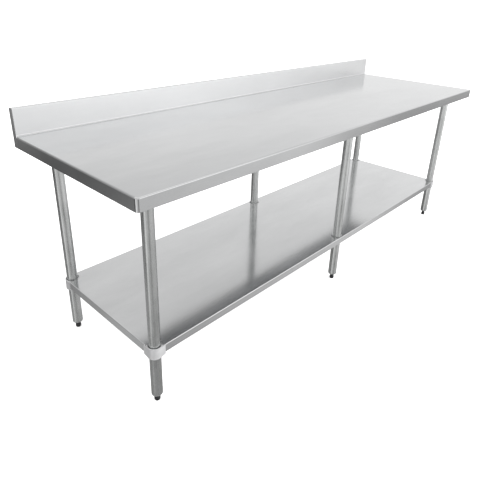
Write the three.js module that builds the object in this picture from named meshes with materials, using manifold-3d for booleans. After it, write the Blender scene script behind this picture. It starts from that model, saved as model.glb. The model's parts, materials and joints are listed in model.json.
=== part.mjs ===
// Stainless work table: a worktop with a backsplash on six tube legs, and an undershelf clamped to them.
// Millimetres, +Z up, -Y to the front, +X to the right end. The origin is on the floor, at the middle.
import * as THREE from "three";
import { mergeVertices } from "three/addons/utils/BufferGeometryUtils.js";
import Module from "manifold-3d";

const GAP = 0.3; // between pieces that touch
const DEPTH = 762; // 30 in
const LENGTH = 2438.4; // 96 in
const EAST = LENGTH / 2;
const BACK = DEPTH / 2;

// Worktop: one sheet, turned down at the front and both ends, turned up into the backsplash at the back
const TOP = { surface: 851, sheet: 1.5, fold: 5, skirt: 44.45, hem: 12, corner: 13 };
const BACKSPLASH = { height: 101.6, shelf: 25.4, lip: 12.7, cove: 6, bend: 1.5 };
const BACKSPLASH_TOP = TOP.surface + BACKSPLASH.height;
const BACKSPLASH_FACE = BACK - BACKSPLASH.shelf;

// Hat-shaped channels: flat is the width of the closed side, flange is one of the two wings
const TOP_CHANNEL = { sheet: 1.5, flat: 60, flange: 20, height: 25, bend: 2, inset: 30 };
const SHELF_CHANNEL = { sheet: 1.2, flat: 60, flange: 18, height: 22, bend: 2, inset: 42 };

// Legs: 1-5/8 in tube, in two rows of three
const LEG = { radius: 20.65, wall: 1.5, bottom: 35, top: 818 };
const COLUMNS = { left: -1116.2, middle: 0, right: 1116.2 };
const ROWS = { front: -276, rear: 284 };
const BORE = LEG.radius + 0.55; // round the leg, for a sliding fit

const SOCKET = { radius: 24.6, bottom: 775, plate: [92, 56, 3], screwHeight: 792 };
const RIB = { height: 34, thickness: 4, toe: 1, setBack: 2, weld: 1 };
const INSERT = { plugTop: 62, bottom: 27, neck: 12, shoulder: 33.2 };
const STEM = { radius: 6, bottom: 6.3, top: 80 };

// Bullet foot: radius and height, from its flat on the floor up to its neck under the insert
const FOOT_OUTLINE = [[6.5, 0], [9.7, 1.4], [11.2, 4.5], [11.2, 12], [8.6, 17], [8.6, 26.7]];
const FOOT_STEM_SEAT = 6;

// Undershelf: one sheet, turned down on all four sides, with a notch round each leg
const SHELF = { surface: 246, sheet: 1.2, fold: 3, skirt: 32, hem: 10, corner: 3.5, beyondLeg: 25 };
const NOTCH = { radius: 27, corner: 21.5 }; // corner is how far past the leg's axis the open corner runs

// Clamps: ring is the collar inside the notch, and mouth is its widened top on the outer side
const CLAMP = { bottom: 203, rim: 240, ring: 24, mouth: 24.2, thickness: 2.2 };
const WING = { reach: 25, endBottom: 209, web: 18, webDepth: 10 };
const MIDDLE_CLAMP = { bottom: 216.5, wing: 38 };
const FLANGE = { radius: 33, thickness: 4 }; // round the rim, under the sheet and wider than the notch
const BOSS = { radius: 6.5, reach: 33 };
const SET_SCREW = { radius: 3, hole: 3.35, key: 1.7, keyDepth: 3.5, length: 14, tip: LEG.radius + GAP };

const ROUND = 20; // sides of a leg and of what fits round it
const SMALL_ROUND = 12; // sides of a screw and its hole
const KEY_SIDES = 6;
const BEND_STEPS = 4;
const LEAST_CORNER = 0.4; // radius left inside a rounded corner

// Every leg: facing turns a front leg's socket to its row, inward points at the table's middle
const LEGS = Object.entries(ROWS).flatMap(([row, y]) =>
  Object.entries(COLUMNS).map(([column, x]) => {
    const kind = column === "middle" ? "middle" : "corner";
    const facing = row === "front" ? 0 : Math.PI;
    const inward = Math.atan2(-Math.sign(y), -Math.sign(x));
    const clampTurn = kind === "middle" ? facing : inward - Math.PI / 4;
    return { name: `${row}_${column}`, kind, x, y, facing, inward, clampTurn };
  }),
);

const wasm = await Module();
wasm.setup();

function toSolid(geometry) {
  const bare = geometry.clone();
  bare.deleteAttribute("normal");
  bare.deleteAttribute("uv");
  const merged = mergeVertices(bare);
  const vertProperties = new Float32Array(merged.attributes.position.array);
  const triVerts = new Uint32Array(merged.index.array);
  return new wasm.Manifold(new wasm.Mesh({ numProp: 3, vertProperties, triVerts }));
}

function toGeometry(solid) {
  const { vertProperties, triVerts } = solid.getMesh();
  const geometry = new THREE.BufferGeometry();
  geometry.setAttribute("position", new THREE.BufferAttribute(vertProperties, 3));
  geometry.setIndex(new THREE.BufferAttribute(triVerts, 1));
  geometry.computeVertexNormals();
  return geometry;
}

const union = (...geometries) => geometries.map(toSolid).reduce((whole, piece) => whole.add(piece));
const cutAll = (solid, pieces) => pieces.reduce((whole, piece) => whole.subtract(piece), solid);
const cut = (solid, ...geometries) => cutAll(solid, geometries.map(toSolid));

function box([x0, x1], [y0, y1], [z0, z1]) {
  const geometry = new THREE.BoxGeometry(x1 - x0, y1 - y0, z1 - z0);
  return geometry.translate((x0 + x1) / 2, (y0 + y1) / 2, (z0 + z1) / 2);
}

// Solid of revolution about Z. The profile is [radius, height] points, up the outside and down the inside.
function turned(profile, sides) {
  const points = profile.map(([radius, height]) => new THREE.Vector2(radius, height));
  return new THREE.LatheGeometry(points, sides).rotateX(Math.PI / 2);
}

function cylinder(radius, z0, z1, sides) {
  return turned([[0, z0], [radius, z0], [radius, z1], [0, z1]], sides);
}

// A section drawn in Y and Z, drawn out along X
function alongX(shape, x0, x1) {
  const axes = new THREE.Matrix4().makeBasis(
    new THREE.Vector3(0, 1, 0),
    new THREE.Vector3(0, 0, 1),
    new THREE.Vector3(1, 0, 0),
  );
  const options = { depth: x1 - x0, bevelEnabled: false, curveSegments: BEND_STEPS };
  const geometry = new THREE.ExtrudeGeometry(shape, options);
  return geometry.applyMatrix4(axes).translate(x0, 0, 0);
}

// Section of a bent sheet. The corners lie on the line through the middle of the sheet, as do the bend radii.
function bentSheet(corners, radii, thickness) {
  const sides = [[], []];
  const put = (point, normal) => {
    sides[0].push(point.clone().addScaledVector(normal, thickness / 2));
    sides[1].unshift(point.clone().addScaledVector(normal, -thickness / 2));
  };
  const leftOf = (direction) => new THREE.Vector2(-direction.y, direction.x);
  const line = corners.map(([y, z]) => new THREE.Vector2(y, z));
  const runs = line.slice(1).map((point, i) => point.clone().sub(line[i]).normalize());

  put(line[0], leftOf(runs[0]));
  radii.forEach((radius, i) => {
    const [coming, going] = [runs[i], runs[i + 1]];
    const turn = Math.sign(coming.cross(going));
    const angle = Math.acos(THREE.MathUtils.clamp(coming.dot(going), -1, 1));
    const start = line[i + 1].clone().addScaledVector(coming, -radius * Math.tan(angle / 2));
    const centre = start.addScaledVector(leftOf(coming), turn * radius);
    for (let step = 0; step <= BEND_STEPS; step += 1) {
      const normal = leftOf(coming).rotateAround(new THREE.Vector2(), (turn * angle * step) / BEND_STEPS);
      put(centre.clone().addScaledVector(normal, -turn * radius), normal);
    }
  });
  put(line.at(-1), leftOf(runs.at(-1)));
  return new THREE.Shape(sides.flat());
}

// Rounded rectangle, counter-clockwise, moved inwards by an inset
function rectangle([x0, x1], [y0, y1], corner, inset) {
  const radius = Math.max(corner - inset, LEAST_CORNER);
  const reach = inset + radius;
  const [left, right, front, back] = [x0 + reach, x1 - reach, y0 + reach, y1 - reach];
  const centres = [[right, front], [right, back], [left, back], [left, front]];
  return centres.flatMap(([x, y], quarter) =>
    Array.from({ length: BEND_STEPS + 1 }, (_, step) => {
      const angle = (Math.PI / 2) * (quarter - 1 + step / BEND_STEPS);
      return new THREE.Vector2(x + radius * Math.cos(angle), y + radius * Math.sin(angle));
    }),
  );
}

// Tray with its rim turned down and in: its rings run from the top face, round the edge, to the underside
function foldedTray(xs, ys, { surface, sheet, fold, skirt, hem, corner }) {
  const quarterTurn = (radius) =>
    Array.from({ length: BEND_STEPS + 1 }, (_, step) => {
      const angle = (Math.PI / 2) * (step / BEND_STEPS);
      return [fold - radius * Math.sin(angle), surface - fold + radius * Math.cos(angle)];
    });
  const bottom = surface - skirt;
  const section = [
    ...quarterTurn(fold),
    [0, bottom],
    [hem, bottom],
    [hem, bottom + sheet],
    [sheet, bottom + sheet],
    ...quarterTurn(fold - sheet).reverse(),
  ];
  const rings = section.map(([inset]) => rectangle(xs, ys, corner, inset));
  const positions = rings.flatMap((ring, i) => ring.flatMap(({ x, y }) => [x, y, section[i][1]]));
  const count = rings[0].length;
  const last = (rings.length - 1) * count;

  const index = THREE.ShapeUtils.triangulateShape(rings[0], []).flat();
  for (let i = 0; i < rings.length - 1; i += 1) {
    for (let j = 0; j < count; j += 1) {
      const [here, next] = [i * count + j, i * count + ((j + 1) % count)];
      index.push(here, here + count, next, next, here + count, next + count);
    }
  }
  for (const [a, b, c] of THREE.ShapeUtils.triangulateShape(rings.at(-1), [])) {
    index.push(last + a, last + c, last + b);
  }

  const geometry = new THREE.BufferGeometry();
  geometry.setAttribute("position", new THREE.Float32BufferAttribute(positions, 3));
  geometry.setIndex(index);
  return geometry;
}

function worktop() {
  const { surface, sheet } = TOP;
  const middle = surface - sheet / 2;
  const face = BACKSPLASH_FACE + sheet / 2;
  const coveStart = BACKSPLASH_FACE - BACKSPLASH.cove;
  const below = [surface - 2 * TOP.skirt, surface + TOP.fold];
  const tray = foldedTray([-EAST, EAST], [-BACK, BACK + 2 * TOP.hem], TOP);
  const open = cut(
    toSolid(tray),
    box([-2 * EAST, 2 * EAST], [BACKSPLASH_FACE - GAP, 2 * BACK], below),
    box([-EAST + sheet, EAST - sheet], [coveStart, 2 * BACK], below),
  );
  const rise = bentSheet(
    [
      [coveStart - TOP.hem, middle],
      [face, middle],
      [face, BACKSPLASH_TOP - sheet / 2],
      [BACK - sheet / 2, BACKSPLASH_TOP - sheet / 2],
      [BACK - sheet / 2, BACKSPLASH_TOP - BACKSPLASH.lip],
    ],
    [BACKSPLASH.cove + sheet / 2, BACKSPLASH.bend + sheet / 2, BACKSPLASH.bend + sheet / 2],
    sheet,
  );
  const reach = EAST - sheet - GAP;
  return toGeometry(open.add(toSolid(alongX(rise, -reach, reach))));
}

// Plate that closes the open end of the backsplash and carries the end skirt on to the back edge
function backsplashEnd() {
  const plate = new THREE.Shape();
  const [front, back] = [BACKSPLASH_FACE, BACK];
  const [bottom, top] = [TOP.surface - TOP.skirt, BACKSPLASH_TOP];
  plate.moveTo(front, bottom);
  plate.lineTo(back, bottom);
  plate.lineTo(back, top - TOP.fold);
  plate.absarc(back - TOP.fold, top - TOP.fold, TOP.fold, 0, Math.PI / 2);
  plate.lineTo(front, top);
  return alongX(plate, -TOP.sheet / 2, TOP.sheet / 2);
}

function hatChannel({ sheet, flat, flange, height, bend }, underside, halfLength) {
  const high = underside - GAP - sheet / 2;
  const low = underside - GAP - height + sheet / 2;
  const [inner, outer] = [flat / 2 - sheet / 2, flat / 2 + flange];
  const section = bentSheet(
    [[-outer, high], [-inner, high], [-inner, low], [inner, low], [inner, high], [outer, high]],
    [bend, bend, bend, bend],
    sheet,
  );
  return alongX(section, -halfLength, halfLength);
}

// Hole or bar that runs from the leg's axis along a heading in the plan
function radial(radius, from, to, height, heading) {
  const bar = cylinder(radius, from, to, SMALL_ROUND).rotateY(Math.PI / 2);
  return bar.rotateZ(heading).translate(0, 0, height);
}

function legSocket() {
  const [length, width, plate] = SOCKET.plate;
  const plateTop = TOP.surface - TOP.sheet - TOP_CHANNEL.height - 2 * GAP;
  const plateBottom = plateTop - plate;
  const [inside, outside] = [SOCKET.radius - RIB.weld, length / 2 - RIB.setBack];
  const rib = new THREE.Shape();
  rib.moveTo(inside, plateBottom + RIB.weld);
  rib.lineTo(inside, plateBottom - RIB.height);
  rib.lineTo(SOCKET.radius + RIB.toe, plateBottom - RIB.height);
  rib.lineTo(outside, plateBottom);
  rib.lineTo(outside, plateBottom + RIB.weld);
  const ribs = [0, Math.PI].map((heading) =>
    alongX(rib, -RIB.thickness / 2, RIB.thickness / 2).rotateZ(heading + Math.PI / 2),
  );
  const body = union(
    box([-length / 2, length / 2], [-width / 2, width / 2], [plateBottom, plateTop]),
    cylinder(SOCKET.radius, SOCKET.bottom, plateBottom + RIB.weld, ROUND),
    ...ribs,
  );
  return toGeometry(
    cut(
      body,
      cylinder(BORE, SOCKET.bottom - 1, plateBottom, ROUND),
      radial(SET_SCREW.hole, 0, 2 * SOCKET.radius, SOCKET.screwHeight, Math.PI / 2),
    ),
  );
}

// Grub screw lying along +X, its tip at the origin and a six-sided key socket in its outer end
function setScrew() {
  const { radius, length, key, keyDepth } = SET_SCREW;
  const recess = cylinder(key, length - keyDepth, length + 1, KEY_SIDES);
  const screw = cut(toSolid(cylinder(radius, 0, length, SMALL_ROUND)), recess);
  return toGeometry(screw).rotateY(Math.PI / 2);
}

function legTube() {
  const { radius, wall, bottom, top } = LEG;
  const inner = radius - wall;
  return turned([[inner, bottom], [radius, bottom], [radius, top], [inner, top], [inner, bottom]], ROUND);
}

// Plug pressed into the leg's bottom end, with a rounded shoulder and a bore for the foot's stem
function footInsert() {
  const { plugTop, bottom, neck, shoulder } = INSERT;
  const bore = STEM.radius + GAP;
  const plug = LEG.radius - LEG.wall - 2 * GAP;
  const curve = Array.from({ length: BEND_STEPS + 1 }, (_, step) => {
    const angle = (Math.PI / 2) * (step / BEND_STEPS);
    return [
      neck + (LEG.radius - neck) * Math.sin(angle),
      shoulder - (shoulder - bottom) * Math.cos(angle),
    ];
  });
  const seat = LEG.bottom - GAP;
  const outside = [[bore, bottom], ...curve, [LEG.radius, seat], [plug, seat], [plug, plugTop]];
  return turned([...outside, [bore, plugTop], [bore, bottom]], ROUND);
}

// Bullet foot, with a seat for its stem
function foot() {
  const bore = STEM.radius + GAP;
  const top = FOOT_OUTLINE.at(-1)[1];
  const outline = [[0, 0], ...FOOT_OUTLINE, [bore, top], [bore, FOOT_STEM_SEAT], [0, FOOT_STEM_SEAT]];
  return turned(outline, ROUND);
}

function undershelf() {
  const { surface, skirt, fold, beyondLeg } = SHELF;
  const xs = [COLUMNS.left - beyondLeg, COLUMNS.right + beyondLeg];
  const ys = [ROWS.front - beyondLeg, ROWS.rear + beyondLeg];
  const through = [surface - 2 * skirt, surface + fold];
  const far = 2 * NOTCH.radius;
  const round = toSolid(cylinder(NOTCH.radius, ...through, 2 * ROUND));
  const insideSkirt = toSolid(box([-far, far], [fold - beyondLeg, far], through));
  const shapes = {
    middle: round.intersect(insideSkirt),
    corner: round
      .add(toSolid(box([-far, NOTCH.corner], [-far, 0], through)))
      .add(toSolid(box([-far, 0], [-far, NOTCH.corner], through))),
  };
  const notches = LEGS.map(({ kind, clampTurn, x, y }) =>
    shapes[kind].rotate([0, 0, THREE.MathUtils.radToDeg(clampTurn)]).translate([x, y, 0]),
  );
  return toGeometry(cutAll(toSolid(foldedTray(xs, ys, SHELF)), notches));
}

// The two sides of a corner clamp, along +X and +Y, their lower edges rising towards the wings' ends
function flanks(reach, depth) {
  const rise = ((WING.endBottom - CLAMP.bottom) * reach) / WING.reach;
  const outer = SHELF.beyondLeg + GAP + CLAMP.thickness;
  const side = new THREE.Shape();
  side.moveTo(0, CLAMP.bottom);
  side.lineTo(reach, CLAMP.bottom + rise);
  side.lineTo(reach, SHELF.surface);
  side.lineTo(0, SHELF.surface);
  return [alongX(side, outer - depth, outer).rotateZ(-Math.PI / 2), alongX(side, -outer, depth - outer)];
}

// Cast corner clamp for a leg at the origin, with its wings over the skirts that run to +X and +Y
function cornerClamp() {
  const { bottom, rim, ring, mouth, thickness } = CLAMP;
  const { surface } = SHELF;
  const outer = SHELF.beyondLeg + GAP + thickness;
  const inward = Math.PI / 4;
  const middle = (bottom + rim) / 2;
  const half = box([0, 2 * outer], [-2 * outer, 2 * outer], [bottom - 1, surface + 1]).rotateZ(inward);
  const innerHalf = toSolid(half);
  const outerHalf = toSolid(cylinder(outer, bottom, surface, 2 * ROUND)).subtract(innerHalf);
  const flange = toSolid(cylinder(FLANGE.radius, rim - FLANGE.thickness, rim, 2 * ROUND));
  const body = outerHalf.add(flange.intersect(innerHalf)).add(
    union(
      cylinder(ring, bottom, rim, 2 * ROUND),
      ...flanks(WING.reach, thickness),
      ...flanks(WING.web, WING.webDepth),
      radial(BOSS.radius, BORE, BOSS.reach, middle, inward),
    ),
  );
  return toGeometry(
    cut(
      body,
      cylinder(BORE, bottom - 1, surface, ROUND),
      turned([[0, rim], [BORE, rim], [mouth, surface], [mouth, surface + 1], [0, surface + 1]], ROUND),
      radial(SET_SCREW.hole, 0, 2 * BOSS.reach, middle, inward),
    ),
  );
}

// Clamp for a middle leg at the origin, its wings inside the skirt on the -Y side
function middleClamp() {
  const { bottom, wing } = MIDDLE_CLAMP;
  const { ring, rim, thickness } = CLAMP;
  const skirtFace = -(SHELF.beyondLeg - SHELF.sheet - GAP);
  const inward = Math.PI / 2;
  const middle = (bottom + rim) / 2;
  const body = union(
    cylinder(ring, bottom, rim, 2 * ROUND),
    cylinder(FLANGE.radius, rim - FLANGE.thickness, rim, 2 * ROUND),
    box([-wing, wing], [skirtFace, skirtFace + thickness], [bottom, rim]),
    radial(BOSS.radius, BORE, BOSS.reach, middle, inward),
  );
  return toGeometry(
    cut(
      body,
      cylinder(BORE, bottom - 1, rim + 1, ROUND),
      radial(SET_SCREW.hole, 0, 2 * BOSS.reach, middle, inward),
      box([-wing, wing], [-2 * ring, skirtFace], [bottom - 1, rim + 1]),
    ),
  );
}

const MATERIALS = {
  stainless: { color: 0xc9cbcc, metalness: 0.9, roughness: 0.3 },
  galvanised: { color: 0xa2a4a3, metalness: 0.8, roughness: 0.45 },
  castAluminium: { color: 0xcdcecf, metalness: 0.8, roughness: 0.4 },
  insert: { color: 0x9b9d9e, metalness: 0.3, roughness: 0.5 },
  blackPlastic: { color: 0x17181a, metalness: 0, roughness: 0.5 },
  zinc: { color: 0xb4b6b8, metalness: 0.9, roughness: 0.35 },
};

const table = new THREE.Group();

function place(name, geometry, material, [x, y, z] = [0, 0, 0], turn = 0) {
  const mesh = new THREE.Mesh(geometry, new THREE.MeshStandardMaterial(MATERIALS[material]));
  mesh.name = name;
  mesh.position.set(x, y, z);
  mesh.rotation.z = turn;
  table.add(mesh);
}

place("worktop", worktop(), "stainless");
place("backsplash_end_left", backsplashEnd(), "stainless", [-EAST + TOP.sheet / 2, 0, 0]);
place("backsplash_end_right", backsplashEnd(), "stainless", [EAST - TOP.sheet / 2, 0, 0]);
place("undershelf", undershelf(), "stainless");

const topUnderside = TOP.surface - TOP.sheet;
const topChannel = hatChannel(TOP_CHANNEL, topUnderside, EAST - TOP_CHANNEL.inset);
const shelfEnd = COLUMNS.right + SHELF.beyondLeg;
const shelfChannel = hatChannel(SHELF_CHANNEL, SHELF.surface - SHELF.sheet, shelfEnd - SHELF_CHANNEL.inset);
place("undershelf_channel", shelfChannel, "galvanised", [0, (ROWS.front + ROWS.rear) / 2, 0]);

const socket = legSocket();
const tube = legTube();
const insert = footInsert();
const glide = foot();
const stem = cylinder(STEM.radius, STEM.bottom, STEM.top, ROUND);
const screw = setScrew();
const clamps = { corner: cornerClamp(), middle: middleClamp() };
const screwHeights = {
  corner: (CLAMP.bottom + CLAMP.rim) / 2,
  middle: (MIDDLE_CLAMP.bottom + CLAMP.rim) / 2,
};

for (const [row, y] of Object.entries(ROWS)) place(`${row}_hat_channel`, topChannel, "galvanised", [0, y, 0]);

for (const { name, kind, x, y, facing, inward, clampTurn } of LEGS) {
  const tipAt = (heading, height) => [
    x + SET_SCREW.tip * Math.cos(heading),
    y + SET_SCREW.tip * Math.sin(heading),
    height,
  ];
  const socketHeading = facing + Math.PI / 2;
  place(`leg_socket_${name}`, socket, "zinc", [x, y, 0], facing);
  place(`socket_screw_${name}`, screw, "zinc", tipAt(socketHeading, SOCKET.screwHeight), socketHeading);
  place(`leg_${name}`, tube, "galvanised", [x, y, 0]);
  place(`foot_insert_${name}`, insert, "insert", [x, y, 0]);
  place(`foot_stem_${name}`, stem, "zinc", [x, y, 0]);
  place(`foot_${name}`, glide, "blackPlastic", [x, y, 0]);
  place(`shelf_clamp_${name}`, clamps[kind], "castAluminium", [x, y, 0], clampTurn);
  place(`clamp_screw_${name}`, screw, "zinc", tipAt(inward, screwHeights[kind]), inward);
}

export default table;
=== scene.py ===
"""Looks of a stainless work table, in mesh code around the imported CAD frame. Metres, +Z up, -Y front."""
import json
import math

import bmesh
import bpy
from mathutils import Matrix, Vector


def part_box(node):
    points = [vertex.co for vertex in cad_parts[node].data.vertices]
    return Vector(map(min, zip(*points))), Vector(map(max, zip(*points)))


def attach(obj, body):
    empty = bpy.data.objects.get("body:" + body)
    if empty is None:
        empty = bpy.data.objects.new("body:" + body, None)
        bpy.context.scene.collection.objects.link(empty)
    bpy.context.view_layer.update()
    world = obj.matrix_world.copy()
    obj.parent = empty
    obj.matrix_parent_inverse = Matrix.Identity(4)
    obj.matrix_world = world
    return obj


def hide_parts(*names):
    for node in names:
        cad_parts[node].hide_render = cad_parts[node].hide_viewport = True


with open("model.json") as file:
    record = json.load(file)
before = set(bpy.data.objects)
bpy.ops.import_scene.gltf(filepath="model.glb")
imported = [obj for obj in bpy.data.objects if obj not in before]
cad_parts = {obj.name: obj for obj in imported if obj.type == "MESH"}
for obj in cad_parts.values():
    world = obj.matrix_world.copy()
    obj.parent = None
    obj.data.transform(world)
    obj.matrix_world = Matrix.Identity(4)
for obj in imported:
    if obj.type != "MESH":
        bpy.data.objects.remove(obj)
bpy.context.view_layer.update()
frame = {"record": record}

MM = 0.001
ROWS = ("front", "rear")
COLUMNS = ("left", "middle", "right")
MOUNTS = {mount["name"]: mount for mount in frame["record"]["mounts"]}

TOP_LOW, TOP_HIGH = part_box("worktop")
SHELF_LOW, SHELF_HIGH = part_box("undershelf")
SURFACE = MOUNTS["work_surface"]["pos_m"][2]

TOP_SHEET, TOP_FOLD, TOP_HEM, TOP_CORNER = 1.5 * MM, 5 * MM, 12 * MM, 13 * MM
COVE, SPLASH_BEND, SPLASH_LIP = 6 * MM, 1.5 * MM, 12.7 * MM
SPLASH_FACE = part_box("backsplash_end_left")[0].y
SHELF_SHEET, SHELF_FOLD, SHELF_HEM, SHELF_CORNER = 1.2 * MM, 3 * MM, 10 * MM, 3.5 * MM
NOTCH, NOTCH_CORNER = 27 * MM, 21.5 * MM
SEAM = 0.3 * MM

ROUND = 96
BEND_STEPS = 10
SMOOTH_ANGLE = math.radians(32)


# ---- mesh code -----------------------------------------------------------------------------------

def leg_names():
    return [(row, column, f"{row}_{column}") for row in ROWS for column in COLUMNS]


def leg_axis(name):
    low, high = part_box(f"leg_{name}")
    return (low.x + high.x) / 2, (low.y + high.y) / 2


LEG_RADIUS = (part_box("leg_front_left")[1].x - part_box("leg_front_left")[0].x) / 2
TUBE_WALL = 1.5 * MM
LEG_BORE = LEG_RADIUS + 0.55 * MM
STEM_BORE = 6.3 * MM
CLAMP_LOW_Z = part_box("shelf_clamp_front_left")[0].z
CLAMP_RIM_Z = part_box("shelf_clamp_front_middle")[1].z
CLAMP_OUTER = leg_axis("front_left")[0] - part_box("shelf_clamp_front_left")[0].x
CLAMP_RING, CLAMP_MOUTH = 24 * MM, 24.2 * MM
WING_THICKNESS, WING_REACH, WING_END_Z = 2.2 * MM, 25 * MM, 209 * MM
WEB_REACH, WEB_DEPTH = 18 * MM, 10 * MM
FLANGE, FLANGE_THICKNESS = 32.5 * MM, 4 * MM
BOSS_RADIUS, BOSS_REACH = 6.5 * MM, 33 * MM
SCREW_HOLE = 3.35 * MM
SCREW_TIP = LEG_RADIUS + SEAM


def mesh_object(name, bm):
    bmesh.ops.recalc_face_normals(bm, faces=bm.faces)
    mesh = bpy.data.meshes.new(name)
    bm.to_mesh(mesh)
    bm.free()
    obj = bpy.data.objects.new(name, mesh)
    bpy.context.scene.collection.objects.link(obj)
    return obj


def applied(obj):
    """Bakes the object's modifiers into its mesh."""
    depsgraph = bpy.context.evaluated_depsgraph_get()
    mesh = bpy.data.meshes.new_from_object(obj.evaluated_get(depsgraph))
    obj.modifiers.clear()
    obj.data = mesh
    return obj


def combine(obj, others, operation):
    for other in others:
        modifier = obj.modifiers.new("combine", "BOOLEAN")
        modifier.operation = operation
        modifier.solver = "EXACT"
        modifier.object = other
        applied(obj)
        bpy.data.objects.remove(other)
    return obj


def softened(obj, width, segments=3, angle=30):
    modifier = obj.modifiers.new("edges", "BEVEL")
    modifier.width = width
    modifier.segments = segments
    modifier.limit_method = "ANGLE"
    modifier.angle_limit = math.radians(angle)
    return applied(obj)


def smoothed(obj):
    """Smooth faces with sharp creases, and flat faces that stay flat beside a round edge."""
    obj.data.shade_smooth()
    obj.data.set_sharp_from_angle(angle=SMOOTH_ANGLE)
    modifier = obj.modifiers.new("normals", "WEIGHTED_NORMAL")
    modifier.keep_sharp = True
    modifier.weight = 100
    return obj


def circle(radius, sides=ROUND):
    turns = [math.tau * i / sides for i in range(sides)]
    return [(radius * math.cos(turn), radius * math.sin(turn)) for turn in turns]


def ring_stack(name, rings, closed_ends=True):
    """Skin through rings of points with equal counts, capped at its first and last ring."""
    bm = bmesh.new()
    loops = [[bm.verts.new(point) for point in ring] for ring in rings]
    count = len(loops[0])
    for lower, upper in zip(loops, loops[1:]):
        for i in range(count):
            j = (i + 1) % count
            bm.faces.new((lower[i], lower[j], upper[j], upper[i]))
    if closed_ends:
        bm.faces.new(loops[0])
        bm.faces.new(loops[-1])
    return mesh_object(name, bm)


def lathe(name, profile, sides=ROUND):
    """Solid of revolution about Z. A profile that doesn't start on the axis closes on itself."""
    bm = bmesh.new()
    columns = []
    for radius, height in profile:
        if radius < 1e-7:
            columns.append([bm.verts.new((0, 0, height))])
        else:
            columns.append([bm.verts.new((x, y, height)) for x, y in circle(radius, sides)])
    pairs = list(zip(columns, columns[1:]))
    if profile[0][0] >= 1e-7:
        pairs.append((columns[-1], columns[0]))
    for low, high in pairs:
        for i in range(sides):
            j = (i + 1) % sides
            face = [low[i % len(low)], low[j % len(low)], high[j % len(high)], high[i % len(high)]]
            corners = list(dict.fromkeys(face))
            if len(corners) > 2:
                bm.faces.new(corners)
    return mesh_object(name, bm)


def extrusion(name, outline, axis, low, high):
    """Plane outline drawn out along X, Y or Z: its two numbers are the other two axes, in X, Y, Z order."""
    order = {"x": (2, 0, 1), "y": (0, 2, 1), "z": (0, 1, 2)}[axis]
    rings = []
    for end in (low, high):
        rings.append([Vector([(point[0], point[1], end)[i] for i in order]) for point in outline])
    return ring_stack(name, rings)


def block(name, xs, ys, zs):
    outline = [(xs[0], ys[0]), (xs[1], ys[0]), (xs[1], ys[1]), (xs[0], ys[1])]
    return extrusion(name, outline, "z", *zs)


def rounded(corners, radius, steps=BEND_STEPS):
    """Closed outline with each corner turned into an arc; radius is one number, or one for each corner."""
    points = []
    count = len(corners)
    radii = radius if isinstance(radius, (list, tuple)) else [radius] * count
    for i, corner in enumerate(corners):
        before, here, after = (Vector(corners[(i + k) % count]) for k in (-1, 0, 1))
        if radii[i] <= 0:
            points.append(tuple(here))
            continue
        start = (before - here).normalized()
        end = (after - here).normalized()
        half = start.angle(end) / 2
        reach = radii[i] / math.tan(half)
        centre = here + (start + end).normalized() * (radii[i] / math.sin(half))
        first = here + start * reach - centre
        sweep = first.angle_signed(here + end * reach - centre)
        for step in range(steps + 1):
            turn = Matrix.Rotation(-sweep * step / steps, 2)
            points.append(tuple(centre + turn @ first))
    return points


def bent_sheet(corners, radii, thickness):
    """Section of a bent sheet, from the corners and bend radii of the line through the sheet's middle."""
    sides = [[], []]
    line = [Vector(corner) for corner in corners]
    runs = [(after - before).normalized() for before, after in zip(line, line[1:])]

    def put(point, normal):
        sides[0].append(tuple(point + normal * thickness / 2))
        sides[1].insert(0, tuple(point - normal * thickness / 2))

    put(line[0], Vector((-runs[0].y, runs[0].x)))
    for corner, radius, coming, going in zip(line[1:], radii, runs, runs[1:]):
        turn = 1 if coming.x * going.y - coming.y * going.x > 0 else -1
        angle = coming.angle(going)
        left = Vector((-coming.y, coming.x))
        centre = corner - coming * radius * math.tan(angle / 2) + left * turn * radius
        for step in range(BEND_STEPS + 1):
            normal = Matrix.Rotation(turn * angle * step / BEND_STEPS, 2) @ left
            put(centre - normal * turn * radius, normal)
    put(line[-1], Vector((-runs[-1].y, runs[-1].x)))
    return sides[0] + sides[1]


def folded_tray(name, low, high, surface, sheet, fold, hem, corner):
    """Sheet with its rim turned down and in: rings run from the top face round the edge to the underside."""
    def inset_rectangle(inset):
        radius = max(corner - inset, 0.4 * MM)
        reach = inset + radius
        xs, ys = (low.x + reach, high.x - reach), (low.y + reach, high.y - reach)
        centres = [(xs[1], ys[0]), (xs[1], ys[1]), (xs[0], ys[1]), (xs[0], ys[0])]
        for quarter, (x, y) in enumerate(centres):
            for step in range(BEND_STEPS + 1):
                angle = (quarter - 1 + step / BEND_STEPS) * math.pi / 2
                yield x + radius * math.cos(angle), y + radius * math.sin(angle)

    def quarter_turn(radius):
        for step in range(BEND_STEPS + 1):
            angle = step / BEND_STEPS * math.pi / 2
            yield fold - radius * math.sin(angle), surface - fold + radius * math.cos(angle)

    bottom = low.z
    section = list(quarter_turn(fold))
    section += [(0, bottom + sheet / 2), (sheet / 2, bottom), (hem, bottom), (hem, bottom + sheet)]
    section += [(sheet, bottom + sheet)]
    section += reversed(list(quarter_turn(fold - sheet)))
    rings = [[(x, y, height) for x, y in inset_rectangle(inset)] for inset, height in section]
    return ring_stack(name, rings)


def piece(obj, body, slot, material, *replaced):
    obj.data.materials.clear()
    obj.data.materials.append(material)
    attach(obj, body)
    if replaced:
        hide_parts(*replaced)
    return obj


# ---- materials -----------------------------------------------------------------------------------

NOISE_ROUGHNESS = 0.6
NOISE_SPAN = (0.3, 0.7)  # the part of the noise's range that is spread over a colour or a roughness
SCRATCH_STRETCH, PATCH_STRETCH = 0.012, 0.35  # noise scale along the grain


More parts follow.
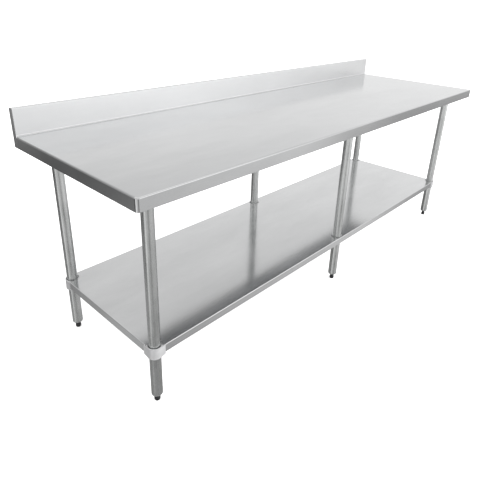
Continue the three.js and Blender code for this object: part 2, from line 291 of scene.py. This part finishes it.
class Shader:
    """Principled material whose colour, roughness and bump come from noise in the piece's coordinates."""

    def __init__(self, name, metallic):
        self.material = bpy.data.materials.new(name)
        self.material.use_nodes = True
        self.tree = self.material.node_tree
        self.principled = self.tree.nodes["Principled BSDF"]
        self.principled.inputs["Metallic"].default_value = metallic
        self.coordinates = self.tree.nodes.new("ShaderNodeTexCoord")

    def node(self, kind, **settings):
        node = self.tree.nodes.new(kind)
        for key, value in settings.items():
            setattr(node, key, value)
        return node

    def link(self, source, target):
        self.tree.links.new(source, target)

    def noise(self, scale, detail, stretch=(1, 1, 1)):
        mapping = self.node("ShaderNodeMapping")
        mapping.inputs["Scale"].default_value = stretch
        self.link(self.coordinates.outputs["Object"], mapping.inputs["Vector"])
        noise = self.node("ShaderNodeTexNoise")
        noise.inputs["Scale"].default_value = scale
        noise.inputs["Detail"].default_value = detail
        noise.inputs["Roughness"].default_value = NOISE_ROUGHNESS
        self.link(mapping.outputs["Vector"], noise.inputs["Vector"])
        return noise.outputs["Fac"]

    def between(self, value, low, high):
        spread = self.node("ShaderNodeMapRange")
        for socket, number in zip(("From Min", "From Max", "To Min", "To Max"), (*NOISE_SPAN, low, high)):
            spread.inputs[socket].default_value = number
        self.link(value, spread.inputs["Value"])
        return spread.outputs["Result"]

    def colour(self, value, dark, light):
        mix = self.node("ShaderNodeMix", data_type="RGBA")
        mix.inputs["A"].default_value = (*dark, 1)
        mix.inputs["B"].default_value = (*light, 1)
        self.link(self.between(value, 0, 1), mix.inputs["Factor"])
        self.link(mix.outputs["Result"], self.principled.inputs["Base Color"])

    def roughness(self, value, low, high):
        self.link(self.between(value, low, high), self.principled.inputs["Roughness"])

    def bump(self, value, depth):
        bump = self.node("ShaderNodeBump")
        bump.inputs["Strength"].default_value = 1.0
        bump.inputs["Distance"].default_value = depth
        self.link(value, bump.inputs["Height"])
        self.link(bump.outputs["Normal"], self.principled.inputs["Normal"])


def brushed(name, along, light, dark, rough, patch=5.0, depth=0.00002):
    """Brushed metal: long fine scratches along one axis, and broad soft patches of wear."""
    shader = Shader(name, 1.0)
    stretch = [1.0, 1.0, 1.0]
    stretch["xyz".index(along)] = SCRATCH_STRETCH
    streak = [1.0, 1.0, 1.0]
    streak["xyz".index(along)] = PATCH_STRETCH
    scratches = shader.noise(900, detail=3, stretch=tuple(stretch))
    patches = shader.noise(patch, detail=6, stretch=tuple(streak))
    shader.colour(patches, dark, light)
    mixed = shader.node("ShaderNodeMath", operation="MULTIPLY_ADD")
    shader.link(scratches, mixed.inputs[0])
    mixed.inputs[1].default_value = 0.5
    halved = shader.node("ShaderNodeMath", operation="MULTIPLY")
    shader.link(patches, halved.inputs[0])
    halved.inputs[1].default_value = 0.5
    shader.link(halved.outputs[0], mixed.inputs[2])
    shader.roughness(mixed.outputs[0], *rough)
    shader.bump(scratches, depth)
    return shader.material


def cast(name, light, dark, rough, metallic=1.0):
    shader = Shader(name, metallic)
    grain = shader.noise(700, detail=6)
    patches = shader.noise(40, detail=4)
    shader.colour(patches, dark, light)
    shader.roughness(patches, *rough)
    shader.bump(grain, 0.00006)
    return shader.material


def plastic(name, light, dark, rough):
    shader = Shader(name, 0.0)
    grain = shader.noise(1500, detail=3)
    patches = shader.noise(60, detail=5)
    shader.colour(patches, dark, light)
    shader.roughness(patches, *rough)
    shader.bump(grain, 0.00002)
    return shader.material


STAINLESS_X = brushed("stainless_along_x", "x", (0.72, 0.725, 0.73), (0.63, 0.635, 0.64), (0.08, 0.2))
# Lighter copy of the worktop's stainless for the undershelf: the brighter colour is painted light, not a
# different steel.
SHELF_PAINTED_LIGHTER = brushed("stainless_undershelf_painted_lighter", "x", (0.85, 0.855, 0.86), (0.76, 0.765, 0.77), (0.08, 0.2))
# Lighter copy of the worktop's stainless for the backsplash's front face: its brighter colour is painted
# light, and only its rougher grain is the sheet's own.
SPLASH_PAINTED_LIGHTER = brushed(
    "stainless_backsplash_painted_lighter", "x", (0.88, 0.885, 0.89), (0.80, 0.805, 0.81), (0.24, 0.38)
)
STAINLESS_Y = brushed("stainless_along_y", "y", (0.70, 0.705, 0.71), (0.62, 0.625, 0.63), (0.16, 0.28))
GALVANISED = brushed("galvanised_sheet", "x", (0.62, 0.635, 0.65), (0.52, 0.535, 0.55), (0.32, 0.5))
TUBE = brushed("leg_tube", "z", (0.72, 0.73, 0.725), (0.54, 0.55, 0.545), (0.2, 0.34), patch=22)
CAST = cast("cast_clamp", (0.90, 0.90, 0.91), (0.82, 0.82, 0.83), (0.3, 0.42), 0.55)
SOCKET = cast("cast_socket", (0.62, 0.63, 0.64), (0.5, 0.51, 0.52), (0.4, 0.55))
ZINC = cast("zinc_steel", (0.72, 0.73, 0.75), (0.6, 0.61, 0.63), (0.2, 0.35))
INSERT = cast("insert_satin", (0.66, 0.67, 0.67), (0.58, 0.59, 0.59), (0.32, 0.45))
BLACK = plastic("black_plastic", (0.02, 0.02, 0.022), (0.012, 0.012, 0.013), (0.3, 0.45))


# ---- worktop -------------------------------------------------------------------------------------

def worktop():
    low, high = TOP_LOW, Vector((TOP_HIGH.x, TOP_HIGH.y + 2 * TOP_HEM, SURFACE))
    tray = folded_tray("worktop_sheet", low, high, SURFACE, TOP_SHEET, TOP_FOLD, TOP_HEM, TOP_CORNER)
    cove_start = SPLASH_FACE - COVE
    far = 2 * TOP_HIGH.x
    zs = (low.z - TOP_FOLD, SURFACE + TOP_FOLD)
    inner = TOP_HIGH.x - TOP_SHEET
    combine(
        tray,
        [
            block("cut_back", (-far, far), (SPLASH_FACE - SEAM, far), zs),
            block("cut_cove", (-inner, inner), (cove_start, far), zs),
        ],
        "DIFFERENCE",
    )
    half = TOP_SHEET / 2
    section = bent_sheet(
        [
            (cove_start - TOP_HEM, SURFACE - half),
            (SPLASH_FACE + half, SURFACE - half),
            (SPLASH_FACE + half, TOP_HIGH.z - half),
            (TOP_HIGH.y - half, TOP_HIGH.z - half),
            (TOP_HIGH.y - half, TOP_HIGH.z - SPLASH_LIP),
        ],
        [COVE + half, SPLASH_BEND + half, SPLASH_BEND + half],
        TOP_SHEET,
    )
    reach = inner - SEAM
    rise = extrusion("rise", section, "x", -reach, reach)
    combine(tray, [rise], "UNION")
    return smoothed(tray)


def backsplash_end(side):
    name = f"backsplash_end_{side}"
    low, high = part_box(name)
    radius = 4 * MM
    outline = rounded(
        [(low.y, low.z), (high.y, low.z), (high.y, high.z), (low.y, high.z)],
        [0, 1.5 * MM, radius, 1.5 * MM],
    )
    plate = extrusion(f"{name}_plate", outline, "x", low.x, high.x)
    return smoothed(softened(plate, 0.4 * MM, 2, angle=60))


def hat_channel(node, sheet, flat, bend):
    low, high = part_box(node)
    half = sheet / 2
    middle = (low.y + high.y) / 2
    inner, outer = flat / 2 - half, (high.y - low.y) / 2
    high_z, low_z = high.z - half, low.z + half
    corners = [
        (-outer, high_z), (-inner, high_z), (-inner, low_z), (inner, low_z), (inner, high_z), (outer, high_z),
    ]
    section = bent_sheet([(middle + y, z) for y, z in corners], [bend] * 4, sheet)
    return smoothed(extrusion(f"{node}_sheet", section, "x", low.x, high.x))


# ---- undershelf ----------------------------------------------------------------------------------

def undershelf():
    tray = folded_tray(
        "undershelf_sheet", SHELF_LOW, SHELF_HIGH, SHELF_HIGH.z,
        SHELF_SHEET, SHELF_FOLD, SHELF_HEM, SHELF_CORNER,
    )
    zs = (SHELF_LOW.z - SHELF_FOLD, SHELF_HIGH.z + SHELF_FOLD)
    cutters = []
    for row, column, name in leg_names():
        x, y = leg_axis(name)
        out_x = {"left": -1, "middle": 0, "right": 1}[column]
        out_y = -1 if row == "front" else 1
        reach_x, reach_y = x + 2 * out_x * NOTCH, y + 2 * out_y * NOTCH
        outline = [(x + cx, y + cy) for cx, cy in circle(NOTCH)]
        if out_x:
            past_x, past_y = x - out_x * NOTCH_CORNER, y - out_y * NOTCH_CORNER
            cutters.append(block("corner", sorted((past_x, reach_x)), sorted((y, reach_y)), zs))
            cutters.append(block("corner", sorted((x, reach_x)), sorted((past_y, reach_y)), zs))
        else:
            limit = abs((SHELF_LOW.y if out_y < 0 else SHELF_HIGH.y) - y) - SHELF_FOLD
            outline = [(cx, y + out_y * min(out_y * (cy - y), limit)) for cx, cy in outline]
        cutters.append(extrusion("notch", outline, "z", *zs))
    combine(tray, cutters, "DIFFERENCE")
    return smoothed(tray)


def moved(obj, x, y, z=0.0, heading=0.0):
    obj.data.transform(Matrix.Translation((x, y, z)) @ Matrix.Rotation(heading, 4, "Z"))
    return obj


def radial_bar(name, radius, start, end, height, heading, sides=48):
    bar = lathe(name, [(0, start), (radius, start), (radius, end), (0, end)], sides)
    bar.data.transform(Matrix.Rotation(math.pi / 2, 4, "Y"))
    return moved(bar, 0, 0, height, heading)


def clamp_base(low, high, heading):
    """Collar and screw boss, the flange just under the rim, and the bore and hole that are cut last."""
    middle = (low + high) / 2
    collar = lathe("collar", [(0, low), (CLAMP_RING, low), (CLAMP_RING, high), (0, high)])
    boss = radial_bar("boss", BOSS_RADIUS, LEG_BORE, BOSS_REACH, middle, heading)
    lip = high - SEAM
    seat = lip - FLANGE_THICKNESS
    flange = lathe("flange", [(0, seat), (FLANGE, seat), (FLANGE, lip), (0, lip)])
    top = SHELF_HIGH.z
    mouth = [(LEG_BORE, high), (CLAMP_MOUTH, top), (CLAMP_MOUTH, 1)]
    bore = lathe("bore", [(0, 0), (LEG_BORE, 0), *mouth, (0, 1)])
    hole = radial_bar("hole", SCREW_HOLE, 0, 2 * BOSS_REACH, middle, heading)
    return [collar, boss], flange, [bore, hole]


def corner_clamp(name):
    """Cast clamp round a corner leg at the origin, its wings over the skirts that run to +X and +Y."""
    low, high = CLAMP_LOW_Z, SHELF_HIGH.z
    inward = math.pi / 4
    outer, wing, web = CLAMP_OUTER, CLAMP_OUTER - WING_THICKNESS, CLAMP_OUTER - WEB_DEPTH
    side = [(WING_REACH, -outer), (WING_REACH, -wing), (WEB_REACH, -wing), (WEB_REACH, -web)]
    turn = [math.pi / 2 * i / BEND_STEPS / 2 for i in range(2 * BEND_STEPS + 1)]
    corner = [(-outer * math.cos(a), -outer * math.sin(a)) for a in turn]
    clamp = extrusion(name, side + [(y, x) for x, y in reversed(side)] + corner, "z", low, high)

    rise = WING_END_Z - low
    under = [(0, 0), (2 * WING_REACH, 0), (2 * WING_REACH, low + 2 * rise), (0, low)]
    wedges = [extrusion("under", under, axis, -2 * outer, SEAM - web) for axis in ("x", "y")]
    combine(clamp, wedges, "DIFFERENCE")

    added, flange, cut = clamp_base(low, CLAMP_RIM_Z, inward)
    outer_half = block("outer_half", (-1, 0), (-1, 1), (0, 1))
    outer_half.data.transform(Matrix.Rotation(inward, 4, "Z"))
    combine(flange, [outer_half], "DIFFERENCE")
    combine(clamp, [*added, flange], "UNION")
    combine(clamp, cut, "DIFFERENCE")
    return softened(clamp, 0.6 * MM, 3)


def middle_clamp(name):
    """Clamp round a middle leg at the origin, its wings inside the skirt on the -Y side."""
    box_low, box_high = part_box("shelf_clamp_front_middle")
    face = box_low.y - leg_axis("front_middle")[1]
    wings = block(name, (box_low.x, box_high.x), (face, face + WING_THICKNESS), (box_low.z, CLAMP_RIM_Z))
    added, flange, cut = clamp_base(box_low.z, CLAMP_RIM_Z, math.pi / 2)
    combine(wings, [*added, flange], "UNION")
    combine(wings, [*cut, block("outside", (-1, 1), (-1, face), (0, 1))], "DIFFERENCE")
    return softened(wings, 0.4 * MM, 2)


# ---- legs and feet -------------------------------------------------------------------------------

def leg_tube(name):
    low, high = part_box(name)
    outer = (high.x - low.x) / 2
    inner = outer - TUBE_WALL
    ease = 0.4 * MM
    profile = [
        (inner, low.z), (outer - ease, low.z), (outer, low.z + ease),
        (outer, high.z - ease), (outer - ease, high.z), (inner, high.z),
    ]
    return lathe(f"{name}_tube", profile)


def foot_insert(name):
    low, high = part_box(name)
    outer = (high.x - low.x) / 2
    neck, lip, ease = 12 * MM, 0.8 * MM, 0.5 * MM
    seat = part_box("leg_front_left")[0].z - SEAM
    shoulder = seat - 1.5 * MM
    plug = outer - TUBE_WALL - 2 * SEAM
    steps = 16
    profile = [(STEM_BORE, low.z), (neck - lip, low.z)]
    for step in range(steps + 1):
        angle = step / steps * math.pi / 2
        height = shoulder - (shoulder - low.z - ease / 2) * math.cos(angle)
        profile.append((neck + (outer - neck) * math.sin(angle), height))
    profile += [(outer, seat - ease), (outer - ease, seat), (plug, seat)]
    for rib in range(3):
        base = seat + (3 + 7 * rib) * MM
        for inset, rise in ((ease, 0), (0, 0.8 * MM), (0, 4 * MM), (ease, 5 * MM)):
            profile.append((plug - inset, base + rise))
    profile += [(plug - 1.5 * MM, high.z), (STEM_BORE, high.z)]
    return lathe(f"{name}_body", profile)


def bullet_foot(name):
    """Glide with a rounded body and a narrower neck, bored for the stem."""
    low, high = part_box(name)
    body = (high.x - low.x) / 2
    neck, waist_z, seat_z = 8.6 * MM, 17 * MM, 6 * MM
    shoulder_z = 12 * MM
    corners = [
        (0, low.z), (body, low.z), (body, shoulder_z), (neck, waist_z),
        (neck, high.z), (STEM_BORE, high.z), (STEM_BORE, seat_z), (0, seat_z),
    ]
    radii = [0, 4.6 * MM, 2.5 * MM, 2.5 * MM, 0.8 * MM, 0.2 * MM, 0, 0]
    return lathe(f"{name}_glide", rounded(corners, radii, 8))


def threaded_stem(name):
    """Rod with a rolled thread: each ring's radius follows a helix."""
    low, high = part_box(name)
    radius = (high.x - low.x) / 2
    pitch, depth, chamfer = 1.75 * MM, 0.9 * MM, 1.5 * MM
    sides, rings_per_turn = 40, 8
    count = round((high.z - low.z) / pitch * rings_per_turn)
    rings = []
    for i in range(count + 1):
        height = low.z + (high.z - low.z) * i / count
        limit = radius - max(0, chamfer - min(height - low.z, high.z - height))
        ring = []
        for j in range(sides):
            phase = ((height - low.z) / pitch - j / sides) % 1
            crest = radius - depth * (1 - abs(2 * phase - 1))
            angle = math.tau * j / sides
            ring.append((min(crest, limit) * math.cos(angle), min(crest, limit) * math.sin(angle), height))
        rings.append(ring)
    return ring_stack(f"{name}_rod", rings)


def set_screw(name):
    """Grub screw along +X, its tip at the origin: cup point, chamfered head and a six-sided key socket."""
    radius, length, chamfer = 3 * MM, 14 * MM, 0.6 * MM
    profile = [(0, 0.5 * MM), (radius - 2 * chamfer, 0), (radius - chamfer, 0), (radius, chamfer)]
    profile += [(radius, length - chamfer), (radius - chamfer, length), (0, length)]
    screw = lathe(name, profile, 48)
    key, key_bottom, key_sides = 1.7 * MM, length - 3.5 * MM, 6
    socket = [(0, key_bottom), (key, key_bottom), (key, 2 * length), (0, 2 * length)]
    recess = lathe("recess", socket, key_sides)
    combine(screw, [recess], "DIFFERENCE")
    screw.data.transform(Matrix.Rotation(math.pi / 2, 4, "Y"))
    return screw


def leg_socket(name):
    """Welded plate with a sleeve and two ribs, for a leg at the origin."""
    low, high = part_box("leg_socket_front_left")
    x, y = leg_axis("front_left")
    half_x, half_y = (high.x - low.x) / 2, (high.y - low.y) / 2
    plate_low = high.z - 3 * MM
    sleeve, rib_height, rib_thickness, overlap = 24.6 * MM, 34 * MM, 4 * MM, MM
    corners = [(-half_x, -half_y), (half_x, -half_y), (half_x, half_y), (-half_x, half_y)]
    plate = extrusion(name, rounded(corners, 8 * MM, 6), "z", plate_low, high.z)
    weld_z, rib_end, rib_low = plate_low + overlap, -half_x + 2 * MM, plate_low - rib_height
    tube = lathe("sleeve", [(0, low.z), (sleeve, low.z), (sleeve, weld_z), (0, weld_z)])
    rib = [(-sleeve + overlap, weld_z), (rib_end, weld_z), (rib_end, plate_low)]
    rib += [(-sleeve - MM, rib_low), (-sleeve + overlap, rib_low)]
    ribs = [
        extrusion("rib", [(side * rx, rz) for rx, rz in rib], "y", -rib_thickness / 2, rib_thickness / 2)
        for side in (1, -1)
    ]
    combine(plate, [tube, *ribs], "UNION")
    bore = lathe("bore", [(0, 0), (LEG_BORE, 0), (LEG_BORE, plate_low), (0, plate_low)])
    screw_low, screw_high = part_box("socket_screw_front_left")
    hole = radial_bar("hole", SCREW_HOLE, 0, 2 * sleeve, (screw_low.z + screw_high.z) / 2, math.pi / 2)
    combine(plate, [bore, hole], "DIFFERENCE")
    return softened(plate, 0.5 * MM, 2)


def build_table():
    top = piece(worktop(), "table_frame", "stainless_sheet", STAINLESS_X, "worktop")
    top.data.materials.append(SPLASH_PAINTED_LIGHTER)
    # Front-facing faces above the cove take the lighter copy: painted light on the backsplash's face, which
    # is the same sheet as the top.
    for face in top.data.polygons:
        face.material_index = int(face.center.z > SURFACE + COVE / 2 and face.normal.y < -0.5)
    for side in ("left", "right"):
        piece(backsplash_end(side), "table_frame", "stainless_sheet", STAINLESS_Y, f"backsplash_end_{side}")
    for row in ROWS:
        channel = hat_channel(f"{row}_hat_channel", 1.5 * MM, 60 * MM, 2 * MM)
        piece(channel, "table_frame", "galvanised_sheet", GALVANISED, f"{row}_hat_channel")
    channel = hat_channel("undershelf_channel", 1.2 * MM, 60 * MM, 2 * MM)
    piece(channel, "undershelf_unit", "galvanised_sheet", GALVANISED, "undershelf_channel")
    # The undershelf takes the lighter copy of the stainless: painted light.
    piece(undershelf(), "undershelf_unit", "stainless_sheet", SHELF_PAINTED_LIGHTER, "undershelf")


def build_leg(row, column, name):
    x, y = leg_axis(name)
    facing = 0 if row == "front" else math.pi
    corner_inward = math.atan2(-math.copysign(1, y), -math.copysign(1, x))
    inward = math.atan2(-y, -x) if column == "middle" else corner_inward
    foot_body = f"foot_unit_{name}"

    def add(obj, body, slot, material, node, z=0.0, heading=0.0, out=0.0):
        place_x, place_y = x + out * math.cos(heading), y + out * math.sin(heading)
        moved(obj, place_x, place_y, z, heading)
        piece(smoothed(obj), body, slot, material, node)

    add(leg_tube(f"leg_{name}"), "table_frame", "leg_tube", TUBE, f"leg_{name}")
    add(foot_insert(f"foot_insert_{name}"), "table_frame", "foot_insert", INSERT, f"foot_insert_{name}")
    add(bullet_foot(f"foot_{name}"), foot_body, "black_plastic", BLACK, f"foot_{name}")
    add(threaded_stem(f"foot_stem_{name}"), foot_body, "zinc_steel", ZINC, f"foot_stem_{name}")
    socket = leg_socket(f"socket_{name}")
    add(socket, "table_frame", "cast_socket", SOCKET, f"leg_socket_{name}", heading=facing)

    clamp = (middle_clamp if column == "middle" else corner_clamp)(f"clamp_{name}")
    clamp_heading = facing if column == "middle" else inward - math.pi / 4
    add(clamp, "undershelf_unit", "cast_clamp", CAST, f"shelf_clamp_{name}", heading=clamp_heading)

    screws = (("socket", "table_frame", facing + math.pi / 2), ("clamp", "undershelf_unit", inward))
    for kind, body, heading in screws:
        node = f"{kind}_screw_{name}"
        low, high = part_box(node)
        height = (low.z + high.z) / 2
        add(set_screw(f"{kind}_grub_{name}"), body, "zinc_steel", ZINC, node, height, heading, SCREW_TIP)


# ---- studio --------------------------------------------------------------------------------------

FLOOR_REACH = 110.0


def stage_material(name, emission):
    shader = Shader(name, 0.0)
    shader.principled.inputs["Base Color"].default_value = (0.93, 0.93, 0.93, 1)
    shader.principled.inputs["Roughness"].default_value = 0.9
    shader.principled.inputs["Emission Color"].default_value = (1, 1, 1, 1)
    shader.principled.inputs["Emission Strength"].default_value = emission
    return shader.material


def stage_piece(obj, emission):
    """Floor or backdrop: it is seen, but the object is lit and reflected by the room alone."""
    obj.data.materials.append(stage_material(f"{obj.name}_white", emission))
    obj.visible_glossy = obj.visible_diffuse = obj.visible_shadow = False


def stage():
    reach = FLOOR_REACH
    stage_piece(block("floor", (-reach, reach), (-reach, reach), (-0.02, -0.0004)), 0.7)
    wall = 0.9 * reach
    rings = [[(x, y, height) for x, y in circle(wall)] for height in (-1.0, wall)]
    stage_piece(ring_stack("backdrop", rings, closed_ends=False), 1.0)


# Soft room: how bright it is at each height, from straight down to straight up
ROOM_LEVELS = ((-1.0, 0.0), (-0.32, 0.76), (-0.12, 1.22), (1.0, 0.29))
# Soft lights and flags in the room: a heading, the cosines where each starts and is full, and what it adds
ROOM_LIGHTS = (
    ((0, 0, 1), 0.62, 0.82, 0.65),
    ((0.8, -0.25, 0.55), 0.88, 0.99, 0.28),
    ((0.57, -0.82, 0.08), 0.92, 1.0, 0.42),
    ((0.95, -0.29, -0.13), 0.94, 0.998, -0.66),
    ((0.88, -0.45, 0.18), 0.95, 1.0, -0.2),
    ((-0.36, 0.93, -0.05), 0.8, 1.0, -0.8),
    ((-0.85, -0.45, 0.05), 0.9, 0.97, -0.35),
    ((-0.9, 0.4, -0.15), 0.86, 0.96, -0.6),
    ((-0.35, -0.87, -0.33), 0.95, 0.99, -0.4),
    ((0.6, 0.7, -0.45), 0.85, 0.98, -0.4),
    ((-0.88, -0.1, -0.5), 0.96, 0.995, 0.45),
)


def studio_world():
    world = bpy.data.worlds.new("studio")
    bpy.context.scene.world = world
    world.use_nodes = True
    tree = world.node_tree
    background = tree.nodes["Background"]
    direction = tree.nodes.new("ShaderNodeTexCoord").outputs["Generated"]

    def ramp(value, start, full, amount):
        node = tree.nodes.new("ShaderNodeMapRange")
        numbers = {"From Min": start, "From Max": full, "To Min": 0, "To Max": amount}
        for socket, number in numbers.items():
            node.inputs[socket].default_value = number
        tree.links.new(value, node.inputs["Value"])
        return node.outputs["Result"]

    def toward(heading):
        dot = tree.nodes.new("ShaderNodeVectorMath")
        dot.operation = "DOT_PRODUCT"
        dot.inputs[1].default_value = Vector(heading).normalized()
        tree.links.new(direction, dot.inputs[0])
        return dot.outputs["Value"]

    height = toward((0, 0, 1))
    steps = zip(ROOM_LEVELS, ROOM_LEVELS[1:])
    parts = [ramp(height, low, high, end - start) for (low, start), (high, end) in steps]
    parts += [ramp(toward(heading), low, high, amount) for heading, low, high, amount in ROOM_LIGHTS]
    level = parts[0]
    for part in parts[1:]:
        total = tree.nodes.new("ShaderNodeMath")
        total.operation = "ADD"
        tree.links.new(level, total.inputs[0])
        tree.links.new(part, total.inputs[1])
        level = total.outputs[0]
    tree.links.new(level, background.inputs["Strength"])
    background.inputs["Color"].default_value = (1, 1, 1, 1)


KEY_ENERGY, KEY_ANGLE, KEY_HEADING = 2.2, math.radians(40), (0.5, -0.7, 0.6)


def key_light():
    """Soft key to the front right that models the matt castings; polished metal reflects the room instead."""
    light = bpy.data.lights.new("soft_key", "SUN")
    light.energy = KEY_ENERGY
    light.angle = KEY_ANGLE
    lamp = bpy.data.objects.new("soft_key", light)
    lamp.rotation_euler = Vector(KEY_HEADING).to_track_quat("Z", "Y").to_euler()
    lamp.visible_glossy = False
    bpy.context.scene.collection.objects.link(lamp)


# Camera and lens solved from the table's edges, with its sizes held
EYE = (-1.8372, -1.328, 1.346)
YAW, PITCH, ROLL = 47.56, 23.04, 2.0
SENSOR_WIDTH, FOCAL_LENGTH = 36.0, 34.88
SHIFT = (-0.0117, -0.1)
CLIP_END = 1000.0


def camera():
    yaw, pitch, roll = math.radians(YAW), math.radians(PITCH), math.radians(ROLL)
    forward = Vector((math.sin(yaw) * math.cos(pitch), math.cos(yaw) * math.cos(pitch), -math.sin(pitch)))
    level = Vector((math.cos(yaw), -math.sin(yaw), 0))
    upright = level.cross(forward)
    right = level * math.cos(roll) + upright * math.sin(roll)
    up = upright * math.cos(roll) - level * math.sin(roll)
    lens = bpy.data.cameras.new("camera")
    lens.sensor_width = SENSOR_WIDTH
    lens.lens = FOCAL_LENGTH
    lens.shift_x, lens.shift_y = SHIFT
    lens.clip_end = CLIP_END
    eye = bpy.data.objects.new("camera", lens)
    matrix = Matrix((right, up, -forward)).transposed().to_4x4()
    matrix.translation = EYE
    eye.matrix_world = matrix
    bpy.context.scene.collection.objects.link(eye)
    bpy.context.scene.camera = eye


camera()
build_table()
for leg in leg_names():
    build_leg(*leg)
stage()
studio_world()
key_light()
bpy.context.scene.view_settings.view_transform = "Standard"
